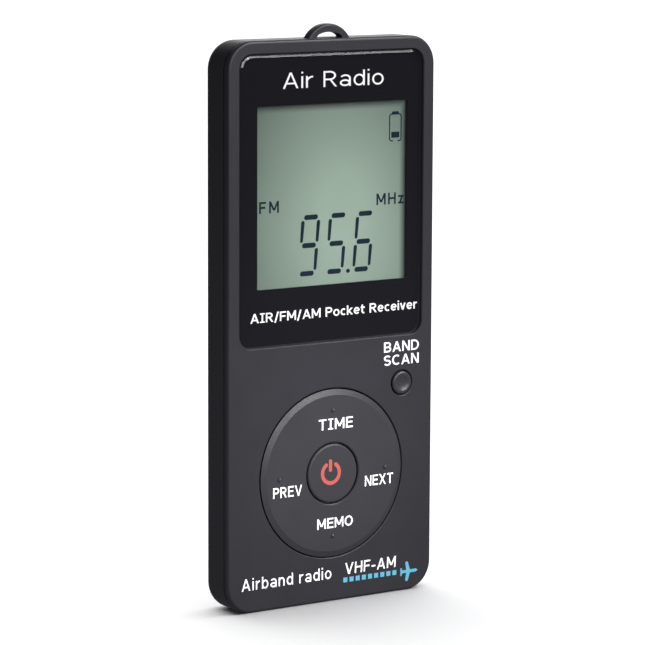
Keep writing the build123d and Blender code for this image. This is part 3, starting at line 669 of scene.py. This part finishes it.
def battery_outlines():
    """Sign of a nearly empty battery cell: a line round it, open below, and one short bar."""
    left, right, low, high = 13.0, 15.5, 81.4, 86.15
    line, corner, stub = 0.22, 0.45, 0.3
    cap_inset, cap_rise, cap_radius = 0.75, 0.2, 0.28
    charge_low, charge_high, charge_wide = 81.95, 83.0, 1.75
    middle = (left + right) / 2
    bends = [
        arc_outline(x, z, corner, corner, turn, turn + 90, line, steps=6)
        for x, z, turn in (
            (left + corner, high - corner, 90), (right - corner, high - corner, 0),
            (left + corner, low + corner, 180), (right - corner, low + corner, 270),
        )
    ]
    return [
        bar_outline(left, low + corner, left, high - corner, line),
        bar_outline(right, low + corner, right, high - corner, line),
        bar_outline(left + corner, high, right - corner, high, line),
        bar_outline(left + corner, low, left + corner + stub, low, line),
        bar_outline(right - corner - stub, low, right - corner, low, line),
        *bends,
        capsule_outline(
            left + cap_inset, high + cap_rise, right - cap_inset, high + cap_rise, cap_radius
        ),
        bar_outline(middle, charge_low, middle, charge_high, charge_wide),
    ]


def plane_outlines(nose_x, z):
    """Simple airliner seen from above, flying right, its nose at nose_x."""
    body = capsule_outline(nose_x - 3.5, z, nose_x - 0.42, z, 0.26, 0.30)
    nose = disc_outline(nose_x - 0.55, z, 0.55, 0.24)
    pieces = [body, nose]
    for side in (1, -1):
        pieces.append([
            (nose_x - 1.55, z), (nose_x - 2.05, z + side * 1.55), (nose_x - 2.22, z + side * 1.80),
            (nose_x - 2.62, z + side * 1.78), (nose_x - 2.66, z + side * 1.50), (nose_x - 2.42, z),
        ])
        pieces.append([
            (nose_x - 3.3, z), (nose_x - 3.46, z + side * 0.70),
            (nose_x - 3.78, z + side * 0.74), (nose_x - 3.74, z),
        ])
    return pieces


def power_outlines():
    """Open ring with round ends, and a stem through its gap."""
    start, end = POWER_GAP
    ring = arc_outline(
        POWER_X, POWER_Z, POWER_RADIUS, POWER_RADIUS, end, start + 360, POWER_LINE, steps=48
    )
    stem = capsule_outline(*POWER_STEM)
    half = POWER_LINE / 2
    tips = []
    for turn in (radians(start), radians(end)):
        x, z = POWER_X + POWER_RADIUS * cos(turn), POWER_Z + POWER_RADIUS * sin(turn)
        tips.append(disc_outline(x, z, half, half, steps=16))
    return [ring, stem] + tips


def trail_outlines():
    """Row of small squares behind the airliner."""
    places = [TRAIL_X + i * TRAIL_PITCH for i in range(TRAIL_COUNT)]
    return [bar_outline(x, TRAIL_LOW, x, TRAIL_HIGH, TRAIL_WIDE) for x in places]


def print_display(ink):
    """Numbers and signs of the liquid-crystal display."""
    number = []
    for digit, x in DIGITS:
        number += digit_outlines(digit, x, DIGITS_Z)
    number.append(disc_outline(*POINT))
    for name, outlines in (
        ("digits", number),
        ("band", word_outlines("FM", -14.56, 70.05, 4.1, SIGN_CAP, SIGN_WEIGHT, 0.30)),
        ("unit", word_outlines("MHz", 10.25, 70.15, 5.95, SIGN_CAP, SIGN_WEIGHT, 0.24)),
        ("battery", battery_outlines()),
    ):
        plate("display_" + name, outlines, FIELD_Y, ink, "casing")


def print_lens_mask(ink):
    """Black border printed behind the lens, around the clear window."""
    left, right, low, high = LENS_BORDER
    view_left, view_right, view_low, view_high = WINDOW
    corner = LENS_CORNER
    inner = left + corner, right - corner, low + corner, high - corner
    outlines = [
        box_outline(left, view_left, inner[2], inner[3]),
        box_outline(view_right, right, inner[2], inner[3]),
        box_outline(inner[0], inner[1], low, view_low),
        box_outline(inner[0], inner[1], view_high, high),
    ]
    outlines += [disc_outline(x, z, corner, corner) for x in inner[:2] for z in inner[2:]]
    plate("lens_mask", outlines, LENS_PRINT_Y, ink, "casing")


def print_words(ink, body, y, rows):
    """Rows of name, text, left end, baseline, width, height, stroke weight, letter gap, lean."""
    for name, text, x, z, width, cap, weight, gap, lean in rows:
        outlines = word_outlines(text, x, z, width, cap, weight, gap, lean=lean)
        plate("print_" + name, outlines, y, ink, body)


def print_labels(white, blue, red):
    """Lettering on the lens, the cover and the ring, and the signs in red and blue."""
    print_words(white, "casing", LENS_PRINT_Y - INK, (
        ("title", "Air Radio", -10.05, 91.55, 21.3, 2.75, 0.28, 0.16, 0.0),
        ("bands", "AIR/FM/AM Pocket Receiver", -16.7, 51.12, 35.6, 1.66, 0.25, 0.11, 0.0),
    ))
    print_words(white, "casing", FACE_Y, (
        ("band", "BAND", 11.15, 43.8, 7.65, 1.85, 0.29, 0.13, 0.0),
        ("scan", "SCAN", 11.15, 41.4, 7.65, 1.85, 0.29, 0.13, 0.0),
        ("kind", "Airband radio", -19.0, 4.1, 19.0, 2.15, 0.29, 0.20, 0.0),
        ("mode", "VHF-AM", 2.9, 4.5, 11.1, 2.05, 0.30, 0.16, 0.05),
    ))
    print_words(white, "nav_ring", KEY_FACE_Y, (
        ("time", "TIME", -3.05, 31.12, 7.3, 1.95, 0.29, 0.16, 0.0),
        ("prev", "PREV", -12.65, 19.97, 6.1, 1.90, 0.29, 0.14, 0.0),
        ("next", "NEXT", 6.95, 20.1, 6.15, 1.90, 0.29, 0.14, 0.0),
        ("memo", "MEMO", -3.3, 13.37, 7.65, 1.85, 0.29, 0.14, 0.0),
    ))
    plate("print_power", power_outlines(), KEY_FACE_Y, red, "power_button")
    plate("print_trail", trail_outlines(), FACE_Y, blue, "casing")
    plate("print_plane", plane_outlines(PLANE_NOSE, PLANE_Z), FACE_Y, blue, "casing")


# ---------------------------------------------------------------- stage, lights and camera
CAMERA_PLACE = Vector((-320.0, -465.2, 132.6)) * MM + Vector((0, FACE_Y, 0))
CAMERA_LENS = 181.15            # mm, on the sensor below
CAMERA_SENSOR = 36.0
CAMERA_NEAR = 0.01              # metres
CAMERA_YAW = radians(34.345)    # to the right of straight ahead (+Y)
CAMERA_PITCH = radians(8.31)    # downwards
CAMERA_ROLL = radians(-0.223)

FLOOR_REACH = 6.0               # metres from the middle to each side
FLOOR_ROUGH = 0.9
ROOM_TINT = (0.95, 0.97, 1.0)
ROOM_LEVEL = 0.10               # what everything but the camera sees of the backdrop

# Directions lead from the aim (mm, by default the middle of the radio) to the lamp; the
# distances and sizes are in metres.
SOFTBOXES = (
    dict(name="key", direction=(0.13, -0.93, 0.31), distance=0.9, size=(0.6, 0.28), watts=4.2,
         roll=radians(40)),
    dict(name="strip", direction=(0.478, -0.795, 0.375), distance=0.9, size=(0.37, 0.36),
         watts=2.6),
    dict(name="overhead", direction=(0.5, -0.48, 0.72), distance=0.8, size=(0.5, 0.14),
         watts=4.8),
    dict(name="behind", direction=(0.56, 0.82, 0.25), distance=1.0, size=(1.0, 0.5), watts=2.5),
    dict(name="low_left", direction=(-1.0, -0.25, 0.0), distance=0.1, size=(0.04, 0.04),
         watts=0.07, mirrored=False, aim=(-20, 0, 7)),
    dict(name="right", direction=(0.8, -0.7, 0.1), distance=0.8, size=(0.4, 0.5), watts=0.05,
         mirrored=False),
)
POOL_DIRECTION = (0.0, -1.0, 0.12)
POOL_DISTANCE = 0.8
POOL_CONE = 5.0                 # degrees
POOL_TALL = 1.15                # height over width
POOL_SOURCE = 0.03              # radius of the lamp, in metres
POOL_WATTS = 33.0
POOL_AIM = (0, 0, 31)
PAPER_DIRECTION = (0.42, 0.45, 1.0)
PAPER_SUN = 4.6
PAPER_SPREAD = radians(112)


def make_camera():
    """The view of the photograph."""
    data = bpy.data.cameras.new("camera")
    data.lens = CAMERA_LENS
    data.sensor_width = CAMERA_SENSOR
    data.clip_start = CAMERA_NEAR
    camera = bpy.data.objects.new("camera", data)
    bpy.context.scene.collection.objects.link(camera)
    level = cos(CAMERA_PITCH)
    forward = Vector((sin(CAMERA_YAW) * level, cos(CAMERA_YAW) * level, -sin(CAMERA_PITCH)))
    right = Vector((cos(CAMERA_YAW), -sin(CAMERA_YAW), 0))
    down = forward.cross(right)
    turned_right = right * cos(CAMERA_ROLL) + down * sin(CAMERA_ROLL)
    turned_down = down * cos(CAMERA_ROLL) - right * sin(CAMERA_ROLL)
    axes = Matrix((turned_right, -turned_down, -forward)).transposed()
    camera.matrix_world = Matrix.Translation(CAMERA_PLACE) @ axes.to_4x4()
    bpy.context.scene.camera = camera


def place_lamp(data, direction, distance, aim):
    """Lamp standing off from aim in a direction, facing it."""
    lamp = bpy.data.objects.new(data.name, data)
    bpy.context.scene.collection.objects.link(lamp)
    away = Vector(direction).normalized()
    lamp.location = Vector(aim) * MM + away * distance
    lamp.rotation_euler = away.to_track_quat("Z", "Y").to_euler()
    lamp.visible_camera = False
    return lamp


def softbox(
    receivers, name, direction, distance, size, watts, mirrored=True, aim=(0, 0, 50), roll=0.0
):
    """Rectangular lamp. Where it isn't mirrored, glossy faces don't show it."""
    data = bpy.data.lights.new(name, "AREA")
    data.shape = "RECTANGLE"
    data.size, data.size_y = size
    data.energy = watts
    lamp = place_lamp(data, direction, distance, aim)
    lamp.rotation_euler.rotate_axis("Z", roll)
    lamp.visible_glossy = mirrored
    lamp.light_linking.receiver_collection = receivers


def pool(receivers):
    """Soft-edged pool of light about the ring, taller than wide."""
    data = bpy.data.lights.new("pool", "SPOT")
    data.spot_size = radians(POOL_CONE)
    data.spot_blend = 1.0
    data.shadow_soft_size = POOL_SOURCE
    data.energy = POOL_WATTS
    lamp = place_lamp(data, POOL_DIRECTION, POOL_DISTANCE, POOL_AIM)
    lamp.visible_glossy = False
    lamp.scale = (1.0, POOL_TALL, 1.0)
    lamp.light_linking.receiver_collection = receivers


def paper_sun(receivers):
    """Very soft light on the paper, from behind and the right."""
    data = bpy.data.lights.new("paper_light", "SUN")
    data.energy = PAPER_SUN
    data.angle = PAPER_SPREAD
    lamp = place_lamp(data, PAPER_DIRECTION, 1.0, (0, 0, 0))
    lamp.light_linking.receiver_collection = receivers


def make_floor():
    """White paper under the radio."""
    mesh = bmesh.new()
    bmesh.ops.create_grid(mesh, x_segments=1, y_segments=1, size=FLOOR_REACH)
    data = bpy.data.meshes.new("floor")
    mesh.to_mesh(data)
    mesh.free()
    floor = bpy.data.objects.new("floor", data)
    bpy.context.scene.collection.objects.link(floor)
    s = Shade("floor_paper")
    base = s.mix(s.spread(s.noise(30.0), 0.0, 1.0), (0.93, 0.93, 0.935), (0.95, 0.95, 0.955))
    data.materials.append(s.done(s.principled(base, FLOOR_ROUGH, Specular_IOR_Level=0.0)))
    floor.visible_glossy = False
    floor.visible_diffuse = False
    return floor


def make_world():
    """White backdrop for the camera, dim room for everything else."""
    world = bpy.data.worlds.new("studio")
    bpy.context.scene.world = world
    world.use_nodes = True
    tree = world.node_tree
    tree.nodes.clear()
    mixed = tree.nodes.new("ShaderNodeMixShader")
    tree.links.new(tree.nodes.new("ShaderNodeLightPath").outputs["Is Camera Ray"], mixed.inputs[0])
    for slot, colour, strength in ((1, ROOM_TINT, ROOM_LEVEL), (2, (1.0, 1.0, 1.0), 1.0)):
        backdrop = tree.nodes.new("ShaderNodeBackground")
        backdrop.inputs[0].default_value = (*colour, 1)
        backdrop.inputs[1].default_value = strength
        tree.links.new(backdrop.outputs[0], mixed.inputs[slot])
    tree.links.new(mixed.outputs[0], tree.nodes.new("ShaderNodeOutputWorld").inputs[0])


def make_lights(floor):
    """Lamps for the radio alone, and one sun for the paper alone."""
    paper = bpy.data.collections.new("paper_only")
    paper.objects.link(floor)
    radio = bpy.data.collections.new("radio_only")
    for obj in bpy.data.objects:
        if obj.type == "MESH" and obj is not floor:
            radio.objects.link(obj)
    for values in SOFTBOXES:
        softbox(radio, **values)
    pool(radio)
    paper_sun(paper)


# ---------------------------------------------------------------- put it together
make_camera()
dress_cad_nodes()
print_display(printed("display_ink", (0.012, 0.022, 0.033), 0.4, 0.0))
print_lens_mask(printed("mask_ink", (0.0080, 0.0076, 0.0104), 0.35, 0.0))
print_labels(
    printed("white_ink", (0.92, 0.92, 0.93)),
    printed("blue_ink", (0.105, 0.37, 0.53)),
    printed("red_ink", (0.41, 0.085, 0.070)),
)
make_world()
make_lights(make_floor())
bpy.context.scene.view_settings.view_transform = "Standard"
